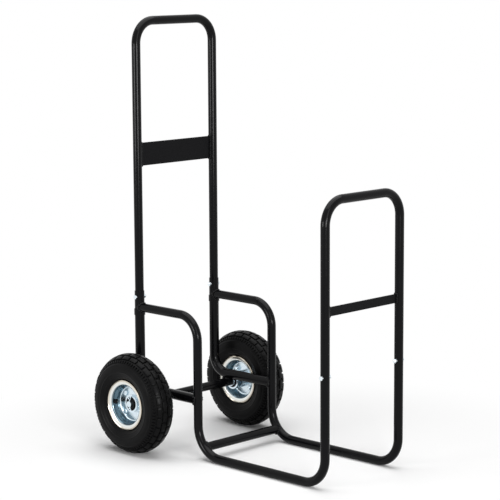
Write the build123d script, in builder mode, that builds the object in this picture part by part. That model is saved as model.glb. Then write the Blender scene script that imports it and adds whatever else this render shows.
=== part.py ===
"""Rolling firewood cart: two stepped tube side frames on a pair of pneumatic wheels.

X runs along the axle, the front frame stands at the -Y end and the handle at the +Y end.
The origin is on the floor under the middle of the cart.
"""

import os
from math import asin, cos, degrees, radians, sin

from build123d import *

os.makedirs("parts", exist_ok=True)

# Tube stock
tube_od = 22.2
tube_wall = 1.5
leg_wall = 1.25

# Gaps and fits, radial unless named otherwise
weld_gap = 0.1
slip_clearance = 0.15
bolt_clearance = 0.25
seat_clearance = 0.05
running_clearance = 0.05
side_play = 0.3

# Side frames, sizes on the tube centre lines
track = 264.0
frame_length = 635.0
step_length = 210.0
shelf_level = 358.0
step_bend = 60.0
heel_bend = 74.0
toe_bend = 66.0
heel_tube_angle = 45.0
front_joint_level = 261.0
spigot_length = 60.0
swage_length = 4.0
spigot_chamfer = 0.7

# Handle frame
overall_height = 1090.0
handle_bend = 56.0
plate_level = 746.0
plate_height = 58.0
plate_thickness = 3.0

# Front frame
front_height = 695.0
front_bend = 58.0
crossbar_level = 425.0
crossbar_height = 21.5
crossbar_thickness = 4.0

# Rear legs, sockets and axle
socket_level = 400.0
socket_depth = 75.0
leg_bend = 45.0
collar_wall = 1.5
collar_height = 15.5
collar_top = 354.0
axle_offset = 46.0
axle_diameter = 16.0
axle_tube_wall = 3.0
axle_chamfer = 1.0
spacer_length = 6.0
spacer_wall = 5.0

# Frame bolts
bolt_diameter = 6.0
bolt_flats = 10.0
bolt_head_height = 4.0
nut_height = 5.0
bolt_end = 3.0
front_bolt_rise = 11.0
handle_bolt_drop = 15.0

# Wheels, sizes across the wheel unless named otherwise
tyre_od = 254.0
tyre_width = 76.0
tyre_widest_diameter = 184.0
shoulder_width = 62.0
shoulder_drop = 14.0
tread_thickness = 9.0
sidewall_thickness = 5.5
tread_rows = 4
row_pitch = 15.5
block_count = 28
groove_width = 3.6
cross_groove_width = 4.5
groove_depth = 3.2
notches_per_block = 3
notch_width = 3.2
notch_depth = 2.2
notch_length = 12.0
bead_width = 6.5
bead_seat_diameter = 101.6
inner_tube_wall = 2.2
inner_tube_width = 56.0
inner_tube_height = 57.0
rim_gauge = 2.0
rim_width = 54.0
flange_diameter = 126.0
lip_width = 3.0
lip_height = 2.0
web_diameter = 92.0
seat_start = 10.0
web_radius = 6.0
seat_radius = 8.0
flange_radius = 6.0
lip_radius = 2.5
hub_od = 44.0
hub_length = 57.0
hub_stand_out = 8.0
hub_land_wall = 7.0
bearing_od = 35.0
bearing_width = 11.0
bearing_recess = 1.0
race_wall = 2.5
seal_recess = 0.6
rim_bolt_circle = 68.0
rim_bolt_count = 4
rim_bolt_diameter = 8.0
rim_bolt_flats = 13.0
rim_bolt_head_height = 5.0
rim_nut_height = 6.5
washer_od = 30.0
washer_thickness = 2.0
cotter_diameter = 3.6
cotter_eye_radius = 3.4
cotter_leg_length = 8.0
axle_end = 4.5

# Valve, through the seat wall of the outer rim half
valve_tilt = 45.0
valve_place = 12.0
valve_root = 6.0
grommet_diameter = 11.0
grommet_length = 5.0
stem_diameter = 7.6
stem_length = 12.0
cap_diameter = 9.6
cap_length = 11.0
cap_wall = 0.9

# Worked out from the sizes above
sides = (("left", -1), ("right", 1))
half_track = track / 2
tube_radius = tube_od / 2
tube_bore_radius = tube_radius - tube_wall
leg_radius = tube_radius + slip_clearance + leg_wall
leg_bore_radius = leg_radius - leg_wall
collar_radius = leg_radius + weld_gap + collar_wall
spigot_radius = tube_bore_radius - slip_clearance
base_level = tube_radius
wheel_radius = tyre_od / 2
leg_y = (frame_length + tube_radius - (wheel_radius - axle_offset)) / 2
riser_y = leg_y - step_length
front_y = leg_y - frame_length
axle_y = leg_y - axle_offset
handle_level = overall_height - tube_radius
front_level = front_height - tube_radius
axle_radius = axle_diameter / 2
axle_tube_bore_radius = axle_radius + slip_clearance
axle_tube_radius = axle_tube_bore_radius + axle_tube_wall
axle_tube_half_length = half_track + leg_radius
strut_level = wheel_radius + axle_tube_radius + weld_gap + leg_radius
front_bolt_level = front_joint_level + front_bolt_rise
handle_bolt_level = socket_level - handle_bolt_drop
hole_radius = bolt_diameter / 2 + bolt_clearance
hub_inner_x = axle_tube_half_length + spacer_length + side_play
wheel_x = hub_inner_x + hub_length - hub_stand_out
washer_x = wheel_x + hub_stand_out + side_play
cotter_hole_radius = cotter_diameter / 2 + slip_clearance
cotter_x = washer_x + washer_thickness + cotter_hole_radius
axle_half_length = cotter_x + axle_end
axle_line = Axis((0, axle_y, wheel_radius), (1, 0, 0))
handle_plane = Plane.XZ.offset(-leg_y)
front_plane = Plane.XZ.offset(-front_y)


def write(piece, name):
    """Label a finished piece and write its STEP file."""
    piece.part.label = name
    export_step(piece.part, f"parts/{name}.step")


def tube_section(path, outer_radius, bore_radius):
    """Ring section square to the start of a path, ready to sweep."""
    with BuildSketch(Plane(origin=path.line @ 0, z_dir=path.line % 0)) as section:
        Circle(outer_radius)
        Circle(bore_radius, mode=Mode.SUBTRACT)
    return section.sketch


def cross_holes(level, y):
    """Cut one bolt line through both legs of the active frame, along X."""
    with BuildSketch(Plane.YZ) as hole:
        with Locations((y, level)):
            Circle(hole_radius)
    extrude(hole.sketch, amount=track, both=True, mode=Mode.SUBTRACT)


# Handle frame: one tube bent to an upside-down U, its ends inside the leg sockets
with BuildPart() as handle_frame:
    with BuildLine(handle_plane) as handle_path:
        FilletPolyline(
            (-half_track, socket_level - socket_depth),
            (-half_track, handle_level),
            (half_track, handle_level),
            (half_track, socket_level - socket_depth),
            radius=handle_bend,
        )
    sweep(tube_section(handle_path, tube_radius, tube_bore_radius), path=handle_path.line)
    cross_holes(handle_bolt_level, leg_y)
write(handle_frame, "handle_frame")

# Flat plate welded between the handle legs
with BuildPart() as handle_plate:
    with BuildSketch(handle_plane):
        with Locations((0, plate_level)):
            Rectangle(track, plate_height)
    extrude(amount=plate_thickness / 2, both=True)
    with Locations(*[(side * half_track, leg_y, plate_level) for _, side in sides]):
        Cylinder(tube_radius + weld_gap, 2 * plate_height, mode=Mode.SUBTRACT)
write(handle_plate, "handle_plate")

# Front frame: a shorter upside-down U that drops over the spigots of the side tubes
with BuildPart() as front_frame:
    with BuildLine(front_plane) as front_path:
        FilletPolyline(
            (-half_track, front_joint_level),
            (-half_track, front_level),
            (half_track, front_level),
            (half_track, front_joint_level),
            radius=front_bend,
        )
    sweep(tube_section(front_path, tube_radius, tube_bore_radius), path=front_path.line)
    cross_holes(front_bolt_level, front_y)
write(front_frame, "front_frame")

# Flat bar welded between the front legs
with BuildPart() as front_crossbar:
    with BuildSketch(front_plane):
        with Locations((0, crossbar_level)):
            Rectangle(track, crossbar_height)
    extrude(amount=crossbar_thickness / 2, both=True)
    with Locations(*[(side * half_track, front_y, crossbar_level) for _, side in sides]):
        Cylinder(tube_radius + weld_gap, 2 * crossbar_height, mode=Mode.SUBTRACT)
write(front_crossbar, "front_crossbar")

for hand, side in sides:
    side_plane = Plane.YZ.offset(side * half_track)

    # Side tube: shelf, riser, base and front upright in one bent tube with a swaged top
    with BuildPart() as side_tube:
        with BuildLine(side_plane) as side_path:
            FilletPolyline(
                (leg_y, shelf_level),
                (riser_y, shelf_level),
                (riser_y, base_level),
                (front_y, base_level),
                (front_y, front_joint_level),
                radius=[step_bend, heel_bend, toe_bend],
            )
        sweep(tube_section(side_path, tube_radius, tube_bore_radius), path=side_path.line)
        with BuildSketch(side_plane):
            with BuildLine():
                Polyline(
                    (front_y + spigot_radius - tube_wall, front_joint_level - swage_length),
                    (front_y + tube_bore_radius, front_joint_level - swage_length),
                    (front_y + tube_bore_radius, front_joint_level),
                    (front_y + spigot_radius, front_joint_level),
                    (front_y + spigot_radius, front_joint_level + spigot_length - spigot_chamfer),
                    (front_y + spigot_radius - spigot_chamfer, front_joint_level + spigot_length),
                    (front_y + spigot_radius - tube_wall, front_joint_level + spigot_length),
                    close=True,
                )
            make_face()
        revolve(axis=Axis((side * half_track, front_y, 0), (0, 0, 1)))
        cross_holes(front_bolt_level, front_y)
        # The rear end is notched to fit round the leg and over its collar
        with BuildSketch(Plane.XY.offset(shelf_level - tube_od)):
            with Locations((side * half_track, leg_y)):
                Circle(leg_radius + weld_gap)
        extrude(amount=2 * tube_od, mode=Mode.SUBTRACT)
        with BuildSketch(Plane.XY.offset(collar_top + weld_gap)):
            with Locations((side * half_track, leg_y)):
                Circle(collar_radius + weld_gap)
        extrude(amount=-tube_od, mode=Mode.SUBTRACT)
    write(side_tube, f"{hand}_side_tube")

    # Rear leg: socket for the handle at the top, bent forward into the strut below
    with BuildPart() as rear_leg:
        with BuildLine(side_plane) as leg_path:
            FilletPolyline(
                (leg_y, socket_level),
                (leg_y, strut_level),
                (riser_y, strut_level),
                radius=leg_bend,
            )
        sweep(tube_section(leg_path, leg_radius, leg_bore_radius), path=leg_path.line)
        cross_holes(handle_bolt_level, leg_y)
        # The front end is notched to fit round the riser
        with Locations((side * half_track, riser_y, strut_level)):
            Cylinder(tube_radius + weld_gap, 2 * tube_od, mode=Mode.SUBTRACT)
    write(rear_leg, f"{hand}_rear_leg")

    # Collar round the leg, under the shelf joint
    with BuildPart() as leg_collar:
        with BuildSketch(Plane.XY.offset(collar_top)):
            with Locations((side * half_track, leg_y)):
                Circle(collar_radius)
                Circle(leg_radius + weld_gap, mode=Mode.SUBTRACT)
        extrude(amount=-collar_height)
    write(leg_collar, f"{hand}_leg_collar")

# Cross tube between the heel bends, its ends notched round them
heel_tube_y = riser_y - heel_bend * (1 - cos(radians(heel_tube_angle)))
heel_tube_level = base_level + heel_bend * (1 - sin(radians(heel_tube_angle)))
with BuildPart() as heel_cross_tube:
    with BuildSketch(Plane.YZ):
        with Locations((heel_tube_y, heel_tube_level)):
            Circle(tube_radius)
            Circle(tube_bore_radius, mode=Mode.SUBTRACT)
    extrude(amount=half_track, both=True)
    with Locations(*[(side * half_track, riser_y - heel_bend, base_level + heel_bend) for _, side in sides]):
        Torus(heel_bend, tube_radius + weld_gap, rotation=(0, 90, 0), mode=Mode.SUBTRACT)
write(heel_cross_tube, "heel_cross_tube")

# Axle tube welded under both struts
with BuildPart() as axle_tube:
    with BuildSketch(Plane.YZ):
        with Locations((axle_y, wheel_radius)):
            Circle(axle_tube_radius)
            Circle(axle_tube_bore_radius, mode=Mode.SUBTRACT)
    extrude(amount=axle_tube_half_length, both=True)
write(axle_tube, "axle_tube")

# Axle: plain round bar, cross-drilled near both ends
with BuildPart() as axle:
    with BuildSketch(Plane.YZ):
        with Locations((axle_y, wheel_radius)):
            Circle(axle_radius)
    extrude(amount=axle_half_length, both=True)
    chamfer(axle.edges().filter_by(GeomType.CIRCLE), axle_chamfer)
    with Locations(*[(side * cotter_x, axle_y, wheel_radius) for _, side in sides]):
        Cylinder(cotter_hole_radius, 2 * axle_diameter, mode=Mode.SUBTRACT)
write(axle, "axle")

# Spacers between the axle tube and the hubs
with BuildPart() as axle_spacers:
    for _, side in sides:
        with BuildSketch(Plane.YZ.offset(side * axle_tube_half_length)):
            with Locations((axle_y, wheel_radius)):
                Circle(axle_radius + slip_clearance + spacer_wall)
                Circle(axle_radius + slip_clearance, mode=Mode.SUBTRACT)
        extrude(amount=side * spacer_length)
write(axle_spacers, "axle_spacers")

# Washers that keep the wheels on
with BuildPart() as axle_washers:
    for _, side in sides:
        with BuildSketch(Plane.YZ.offset(side * washer_x)):
            with Locations((axle_y, wheel_radius)):
                Circle(washer_od / 2)
                Circle(axle_radius + slip_clearance, mode=Mode.SUBTRACT)
        extrude(amount=side * washer_thickness)
write(axle_washers, "axle_washers")

# Cotter pins: an eye above the axle and two splayed legs below it
with BuildPart() as cotter_pins:
    for _, side in sides:
        pin_plane = Plane.YZ.offset(side * cotter_x)
        eye_level = wheel_radius + axle_radius + cotter_eye_radius
        with BuildLine(pin_plane) as pin_path:
            Line((axle_y, eye_level), (axle_y, wheel_radius - axle_radius))
        with BuildSketch(Plane(origin=pin_path.line @ 0, z_dir=pin_path.line % 0)):
            Circle(cotter_diameter / 2)
        sweep(path=pin_path.line)
        with Locations((side * cotter_x, axle_y, eye_level + cotter_eye_radius)):
            Torus(cotter_eye_radius, cotter_diameter / 4, rotation=(0, 90, 0))
        for way in (-1, 1):
            with BuildLine(pin_plane) as leg_line:
                Line(
                    (axle_y, wheel_radius - axle_radius + cotter_diameter / 2),
                    (axle_y + way * cotter_leg_length / 2, wheel_radius - axle_radius - cotter_leg_length),
                )
            with BuildSketch(Plane(origin=leg_line.line @ 0, z_dir=leg_line.line % 0)):
                Circle(cotter_diameter / 3)
            sweep(path=leg_line.line)
write(cotter_pins, "cotter_pins")


def bolt_group(seat_radius_out, y, level):
    """Two hex bolts, heads outside, one through each leg of a frame."""
    for _, side in sides:
        head_plane = Plane(origin=(side * (half_track + seat_radius_out), y, level), z_dir=(side, 0, 0))
        with BuildSketch(head_plane) as head:
            RegularPolygon(bolt_flats / 2, 6, major_radius=False)
        extrude(head.sketch, amount=bolt_head_height)
        with BuildSketch(head_plane) as shank:
            Circle(bolt_diameter / 2)
        extrude(shank.sketch, amount=-(2 * seat_radius_out + nut_height + bolt_end))


def nut_group(seat_radius_out, y, level):
    """Two hex nuts on the inner ends of a pair of frame bolts."""
    for _, side in sides:
        nut_plane = Plane(origin=(side * (half_track - seat_radius_out), y, level), z_dir=(-side, 0, 0))
        with BuildSketch(nut_plane) as nut:
            RegularPolygon(bolt_flats / 2, 6, major_radius=False)
            Circle(bolt_diameter / 2 + seat_clearance, mode=Mode.SUBTRACT)
        extrude(nut.sketch, amount=nut_height)


with BuildPart() as front_bolts:
    bolt_group(tube_radius, front_y, front_bolt_level)
write(front_bolts, "front_bolts")

with BuildPart() as front_nuts:
    nut_group(tube_radius, front_y, front_bolt_level)
write(front_nuts, "front_nuts")

with BuildPart() as handle_bolts:
    bolt_group(leg_radius, leg_y, handle_bolt_level)
write(handle_bolts, "handle_bolts")

with BuildPart() as handle_nuts:
    nut_group(leg_radius, leg_y, handle_bolt_level)
write(handle_nuts, "handle_nuts")

# Wheel sections are drawn with local x outward along the axle and local y away from it
half_rim = rim_width / 2
seat_line = bead_seat_diameter / 2
bead_face = half_rim - weld_gap
bead_foot = seat_line + weld_gap
bead_top = flange_diameter / 2 + side_play
bead_heel_radius = flange_radius - weld_gap
shoulder_line = wheel_radius - shoulder_drop
widest_line = tyre_widest_diameter / 2
cavity_top = wheel_radius - tread_thickness
inner_tube_line = cavity_top - side_play - inner_tube_height / 2
hub_radius = hub_od / 2
bearing_seat_radius = bearing_od / 2 + seat_clearance
bearing_bore_radius = axle_radius + running_clearance
bearing_seat_depth = bearing_width + bearing_recess

# Tyre: open casing with beads and rounded sidewalls, made for the right wheel and mirrored for the left
crown_radius = ((shoulder_width / 2) ** 2 + shoulder_drop**2) / (2 * shoulder_drop)
crown_centre = wheel_radius - crown_radius
row_angle = row_pitch / crown_radius
groove_angles = [(number - tread_rows / 2) * row_angle for number in range(tread_rows + 1)]
shoulder_tilt = degrees(asin(shoulder_width / 2 / crown_radius))
tyre_centre = (wheel_x, axle_y, wheel_radius)
tread_plane = Plane(origin=tyre_centre, x_dir=(0, 1, 0), z_dir=(1, 0, 0))

with BuildPart() as right_tyre:
    with BuildSketch(Plane(origin=tyre_centre, x_dir=(1, 0, 0), z_dir=(0, -1, 0))):
        with BuildLine():
            TangentArc((0, wheel_radius), (shoulder_width / 2, shoulder_line), tangent=(1, 0))
            ThreePointArc(
                (shoulder_width / 2, shoulder_line),
                (tyre_width / 2, widest_line),
                (bead_face, bead_top),
            )
            FilletPolyline(
                (bead_face, bead_top),
                (bead_face, bead_foot),
                (bead_face - bead_width, bead_foot),
                (bead_face - bead_width, bead_top),
                radius=[bead_heel_radius, 0],
            )
            ThreePointArc(
                (bead_face - bead_width, bead_top),
                (tyre_width / 2 - sidewall_thickness, widest_line),
                (shoulder_width / 2 - sidewall_thickness, shoulder_line - sidewall_thickness),
            )
            TangentArc(
                (0, cavity_top),
                (shoulder_width / 2 - sidewall_thickness, shoulder_line - sidewall_thickness),
                tangent=(1, 0),
            )
            Line((0, cavity_top), (0, wheel_radius))
        make_face()
        mirror(about=Plane.YZ)
        for angle in groove_angles:
            groove_centre = (crown_radius * sin(angle), crown_centre + crown_radius * cos(angle))
            with Locations(Location(groove_centre, -degrees(angle))):
                Rectangle(groove_width, 2 * groove_depth, mode=Mode.SUBTRACT)
    revolve(axis=axle_line)
    # Cross grooves part each row into blocks, staggered from row to row
    for number in range(tread_rows):
        middle = (number - (tread_rows - 1) / 2) * row_angle
        row_start = crown_radius * sin(middle - row_angle / 2)
        row_end = crown_radius * sin(middle + row_angle / 2)
        groove_floor = crown_centre + crown_radius * cos(middle) - groove_depth
        with BuildSketch(tread_plane.offset(row_start)) as cross_grooves:
            with PolarLocations(groove_floor, block_count, start_angle=180 / block_count * (number % 2)):
                Rectangle(tread_thickness, cross_groove_width, align=(Align.MIN, Align.CENTER))
        extrude(cross_grooves.sketch, amount=row_end - row_start, mode=Mode.SUBTRACT)
    # Finer notches across both shoulders
    for _, side in sides:
        with Locations(tread_plane), PolarLocations(shoulder_line, notches_per_block * block_count):
            with Locations(Location((0, 0, side * shoulder_width / 2), (0, -side * shoulder_tilt, 0))):
                Box(2 * notch_depth, notch_width, notch_length, mode=Mode.SUBTRACT)
write(right_tyre, "right_tyre")

with BuildPart() as left_tyre:
    mirror(right_tyre.part, about=Plane.YZ)
write(left_tyre, "left_tyre")

for hand, side in sides:
    wheel_centre = (side * wheel_x, axle_y, wheel_radius)
    wheel_plane = Plane(origin=wheel_centre, x_dir=(side, 0, 0), z_dir=(0, -side, 0))
    web_plane = Plane(origin=wheel_centre, x_dir=(0, 1, 0), z_dir=(side, 0, 0))
    valve_plane = Plane(origin=wheel_centre, x_dir=(side, 0, 0), z_dir=(0, 0, side))
    valve_axis = Axis(
        valve_plane.from_local_coords((valve_place, seat_line, 0)),
        side * Vector(cos(radians(valve_tilt)), 0, 0) - Vector(0, sin(radians(valve_tilt)), 0),
    )
    valve_base = Plane(origin=valve_axis.position, z_dir=valve_axis.direction)

    # Inner tube that holds the air
    with BuildPart() as inner_tube:
        with BuildSketch(wheel_plane):
            with Locations((0, inner_tube_line)):
                Ellipse(inner_tube_width / 2, inner_tube_height / 2)
                Ellipse(
                    inner_tube_width / 2 - inner_tube_wall,
                    inner_tube_height / 2 - inner_tube_wall,
                    mode=Mode.SUBTRACT,
                )
        revolve(axis=axle_line)
    write(inner_tube, f"{hand}_inner_tube")

    # Stamped rim halves, back to back on the wheel's middle plane
    for half, way, offset_side in (("outer", 1, Side.RIGHT), ("inner", -1, Side.LEFT)):
        with BuildPart() as rim:
            with BuildSketch(wheel_plane):
                with BuildLine():
                    FilletPolyline(
                        (0, hub_radius + weld_gap),
                        (0, web_diameter / 2),
                        (way * seat_start, seat_line),
                        (way * half_rim, seat_line),
                        (way * half_rim, flange_diameter / 2 - lip_height),
                        (way * (half_rim + lip_width), flange_diameter / 2),
                        radius=[web_radius, seat_radius, flange_radius, lip_radius],
                    )
                    offset(amount=rim_gauge, side=offset_side)
                make_face()
            revolve(axis=axle_line)
            with BuildSketch(web_plane):
                with PolarLocations(rim_bolt_circle / 2, rim_bolt_count, start_angle=180 / rim_bolt_count):
                    Circle(rim_bolt_diameter / 2 + bolt_clearance)
            extrude(amount=2 * rim_gauge, both=True, mode=Mode.SUBTRACT)
            if way > 0:
                with BuildSketch(valve_base):
                    Circle(grommet_diameter / 2 + slip_clearance)
                extrude(amount=grommet_diameter, both=True, mode=Mode.SUBTRACT)
        write(rim, f"{hand}_{half}_rim")

    # Hub barrel with a bearing seat at each end
    with BuildPart() as hub:
        with BuildSketch(wheel_plane):
            with Locations((hub_stand_out - hub_length / 2, 0)):
                Rectangle(hub_length, hub_radius, align=(Align.CENTER, Align.MIN))
                Rectangle(
                    hub_length,
                    hub_radius - hub_land_wall,
                    align=(Align.CENTER, Align.MIN),
                    mode=Mode.SUBTRACT,
                )
            with Locations((hub_stand_out, 0)):
                Rectangle(
                    bearing_seat_depth, bearing_seat_radius, align=(Align.MAX, Align.MIN), mode=Mode.SUBTRACT
                )
            with Locations((hub_stand_out - hub_length, 0)):
                Rectangle(
                    bearing_seat_depth, bearing_seat_radius, align=(Align.MIN, Align.MIN), mode=Mode.SUBTRACT
                )
        revolve(axis=axle_line)
    write(hub, f"{hand}_hub")

    # Sealed ball bearings, one in each end of the hub
    bearing_places = (
        ("outer", hub_stand_out - bearing_seat_depth),
        ("inner", hub_stand_out - hub_length + bearing_recess),
    )
    for place, start in bearing_places:
        with BuildPart() as bearing:
            with BuildSketch(wheel_plane):
                with Locations((start, bearing_bore_radius)):
                    Rectangle(
                        bearing_width, bearing_od / 2 - bearing_bore_radius, align=(Align.MIN, Align.MIN)
                    )
                seal_height = bearing_od / 2 - bearing_bore_radius - 2 * race_wall
                with Locations(
                    (start, bearing_bore_radius + race_wall),
                    (start + bearing_width, bearing_bore_radius + race_wall),
                ):
                    Rectangle(
                        2 * seal_recess, seal_height, align=(Align.CENTER, Align.MIN), mode=Mode.SUBTRACT
                    )
            revolve(axis=axle_line)
        write(bearing, f"{hand}_{place}_bearing")

    # Bolts and nuts that hold the rim halves together
    with BuildPart() as rim_bolts:
        with BuildSketch(web_plane.offset(rim_gauge)):
            with PolarLocations(rim_bolt_circle / 2, rim_bolt_count, start_angle=180 / rim_bolt_count):
                RegularPolygon(rim_bolt_flats / 2, 6, major_radius=False)
        extrude(amount=rim_bolt_head_height)
        with BuildSketch(web_plane.offset(rim_gauge)):
            with PolarLocations(rim_bolt_circle / 2, rim_bolt_count, start_angle=180 / rim_bolt_count):
                Circle(rim_bolt_diameter / 2)
        extrude(amount=-(2 * rim_gauge + rim_nut_height + bolt_end))
    write(rim_bolts, f"{hand}_rim_bolts")

    with BuildPart() as rim_nuts:
        with BuildSketch(web_plane.offset(-rim_gauge)):
            with PolarLocations(rim_bolt_circle / 2, rim_bolt_count, start_angle=180 / rim_bolt_count):
                RegularPolygon(rim_bolt_flats / 2, 6, major_radius=False)
                Circle(rim_bolt_diameter / 2 + seat_clearance, mode=Mode.SUBTRACT)
        extrude(amount=-rim_nut_height)
    write(rim_nuts, f"{hand}_rim_nuts")

    # Valve stem with its rubber grommet, and the dust cap over its end
    with BuildPart() as valve_stem:
        with BuildSketch(valve_base.offset(-valve_root)):
            Circle(grommet_diameter / 2)
        extrude(amount=valve_root + grommet_length)
        with BuildSketch(valve_base.offset(grommet_length)):
            Circle(stem_diameter / 2)
        extrude(amount=stem_length)
    write(valve_stem, f"{hand}_valve_stem")

    with BuildPart() as valve_cap:
        with BuildSketch(valve_base.offset(grommet_length + stem_length + cap_wall)):
            Circle(cap_diameter / 2)
        extrude(amount=-cap_length)
        with BuildSketch(valve_base.offset(grommet_length + stem_length + weld_gap)):
            Circle(stem_diameter / 2 + weld_gap)
        extrude(amount=-cap_length, mode=Mode.SUBTRACT)
    write(valve_cap, f"{hand}_valve_cap")
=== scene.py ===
"""Looks of a rolling log cart: coated tubes and their welds, treaded tyres, plated rims and fasteners."""

import logging
import math
from collections.abc import Callable, Sequence
from dataclasses import dataclass, field
from enum import Enum

import bpy
from mathutils import Matrix, Vector


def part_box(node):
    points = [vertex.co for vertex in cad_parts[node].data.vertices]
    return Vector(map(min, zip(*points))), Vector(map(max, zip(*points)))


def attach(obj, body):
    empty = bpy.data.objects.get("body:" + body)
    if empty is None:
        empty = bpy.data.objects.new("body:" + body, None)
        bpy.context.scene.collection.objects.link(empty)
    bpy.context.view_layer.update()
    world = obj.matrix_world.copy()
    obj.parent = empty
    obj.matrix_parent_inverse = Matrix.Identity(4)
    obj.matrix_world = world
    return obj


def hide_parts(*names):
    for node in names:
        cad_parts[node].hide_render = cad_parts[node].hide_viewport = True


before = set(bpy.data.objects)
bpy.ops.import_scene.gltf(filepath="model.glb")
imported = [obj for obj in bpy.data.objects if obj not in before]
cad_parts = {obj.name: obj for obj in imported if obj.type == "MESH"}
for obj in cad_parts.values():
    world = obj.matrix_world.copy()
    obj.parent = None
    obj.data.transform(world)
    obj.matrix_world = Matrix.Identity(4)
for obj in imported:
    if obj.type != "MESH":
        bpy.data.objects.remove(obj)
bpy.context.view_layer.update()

MM = 0.001
WHITE = (1.0, 1.0, 1.0, 1.0)

# Width and height of the photograph
PHOTO_PIXELS = 500

# Kinds of node that are used most
MATH = "ShaderNodeMath"
VECTOR_MATH = "ShaderNodeVectorMath"
COMBINE = "ShaderNodeCombineXYZ"
SEPARATE = "ShaderNodeSeparateXYZ"
MAP_RANGE = "ShaderNodeMapRange"
NOISE = "ShaderNodeTexNoise"
MIX = "ShaderNodeMix"
MOVE = "GeometryNodeTransform"
COPY = "GeometryNodeInstanceOnPoints"
TO_ROTATION = "FunctionNodeEulerToRotation"

# Socket numbers of a Mix node, whose sockets share their names
FACTOR = 0
NUMBER_A, NUMBER_B = 2, 3
COLOUR_A, COLOUR_B = 6, 7
COLOUR_OUT = 2

# Radians that a Wave texture turns through in one unit
WAVE_RATE = 20.0

# Points along the three sides of a tread block or rib
BLOCK_POINTS = {"Vertices X": 3, "Vertices Y": 5, "Vertices Z": 2}

# Size and octaves of the lumps in a weld bead, and the sides of its section
LUMP_SIZE = 9 * MM
LUMP_DETAIL = 2.0
BEAD_SIDES = 10

Tree = bpy.types.NodeTree
Node = bpy.types.Node
Socket = bpy.types.NodeSocket
Piece = bpy.types.Object
Point = tuple[float, float]
Measure = float | Callable[[float], float]

log = logging.getLogger("log_cart")


class Body(Enum):
    """Bodies of the cart that a piece can ride on."""

    FRAME = "frame"
    LEFT_WHEEL = "left_wheel"
    RIGHT_WHEEL = "right_wheel"


class Hand(Enum):
    """The two sides of the cart, with the way each one faces along the axle."""

    LEFT = -1
    RIGHT = 1

    @property
    def label(self) -> str:
        """Word that starts the names of this side's nodes."""
        return self.name.lower()

    @property
    def wheel_body(self) -> Body:
        """Body that this side's wheel turns as."""
        return Body.LEFT_WHEEL if self is Hand.LEFT else Body.RIGHT_WHEEL


def middle(node: str) -> Vector:
    """Middle of a node's box."""
    low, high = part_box(node)
    return (low + high) / 2


def linear(code: str) -> tuple[float, float, float, float]:
    """Turn an sRGB hex colour into linear light.

    Args:
        code: colour as "#rrggbb".

    Returns:
        Linear red, green and blue with full alpha.
    """
    channels = [int(code[start : start + 2], 16) / 255 for start in (1, 3, 5)]
    # The sRGB curve is straight near black and a power above it
    light = [c / 12.92 if c <= 0.04045 else ((c + 0.055) / 1.055) ** 2.4 for c in channels]
    return (light[0], light[1], light[2], 1.0)


def add_node(tree: Tree, kind: str, sockets: dict | None = None, **settings: object) -> Node:
    """Add one node with its settings, input values and links.

    Args:
        tree: node tree that gets the node.
        kind: type name of the node.
        sockets: input name or number, to a value or to the output socket that feeds it.
        settings: properties of the node itself.

    Returns:
        The new node.
    """
    node = tree.nodes.new(kind)
    for name, value in settings.items():
        setattr(node, name, value)
    for key, value in (sockets or {}).items():
        if isinstance(value, Socket):
            tree.links.new(value, node.inputs[key])
        else:
            node.inputs[key].default_value = value
    return node


@dataclass(frozen=True)
class Finish:
    """A surface finish, named for its material and how the surface was made.

    The grain is a fine bump, drawn as coarse as it needs to be to show. The cloud is a broad, faint change
    of colour and roughness. The roughness goes from its first value to its second over the cloud's range.
    """

    name: str
    colour: str
    cloud_colour: str
    roughness: tuple[float, float]
    grain_mm: float
    grain_height_mm: float
    cloud_mm: float
    metallic: float = 0.0
    specular: float = 0.5
    cloud_detail: float = 3.0
    cloud_falloff: float = 0.55
    cloud_range: tuple[float, float] = (0.3, 0.7)
    grain_detail: float = 2.0

    def material(self) -> bpy.types.Material:
        """Make the material on the first call, and find it again on later ones.

        Returns:
            The material.
        """
        made = bpy.data.materials.get(self.name)
        if made:
            return made
        made = bpy.data.materials.new(self.name)
        made.use_nodes = True
        tree = made.node_tree
        shader = tree.nodes["Principled BSDF"]
        shader.inputs["Metallic"].default_value = self.metallic
        shader.inputs["Specular IOR Level"].default_value = self.specular
        place = add_node(tree, "ShaderNodeTexCoord").outputs["Object"]
        broad = {"Vector": place, "Scale": 1 / (self.cloud_mm * MM)}
        broad |= {"Detail": self.cloud_detail, "Roughness": self.cloud_falloff}
        cloud = add_node(tree, NOISE, broad).outputs["Fac"]
        spread = zip(("From Min", "From Max", "To Min", "To Max"), self.cloud_range + self.roughness)
        gloss = add_node(tree, MAP_RANGE, {"Value": cloud} | dict(spread))
        relief = {"Height": self.grain(tree, place), "Strength": 1.0, "Distance": self.grain_height_mm * MM}
        bump = add_node(tree, "ShaderNodeBump", relief)
        tree.links.new(self.tint(tree, place, cloud), shader.inputs["Base Color"])
        tree.links.new(gloss.outputs["Result"], shader.inputs["Roughness"])
        tree.links.new(bump.outputs["Normal"], shader.inputs["Normal"])
        return made

    def tint(self, tree: Tree, place: Socket, cloud: Socket) -> Socket:
        """Blend the two colours by the cloud.

        Args:
            tree: node tree of the material.
            place: coordinates of the surface, for a finish that changes with them.
            cloud: broad pattern from 0 to 1.

        Returns:
            Colour of the surface.
        """
        blend = {FACTOR: cloud, COLOUR_A: linear(self.colour), COLOUR_B: linear(self.cloud_colour)}
        return add_node(tree, MIX, blend, data_type="RGBA").outputs[COLOUR_OUT]

    def grain(self, tree: Tree, place: Socket) -> Socket:
        """Add the fine pattern of the surface.

        Args:
            tree: node tree of the material.
            place: coordinates of the surface.

        Returns:
            Height of the pattern, from 0 to 1.
        """
        fine = {"Vector": place, "Scale": 1 / (self.grain_mm * MM), "Detail": self.grain_detail}
        return add_node(tree, NOISE, fine).outputs["Fac"]


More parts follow.
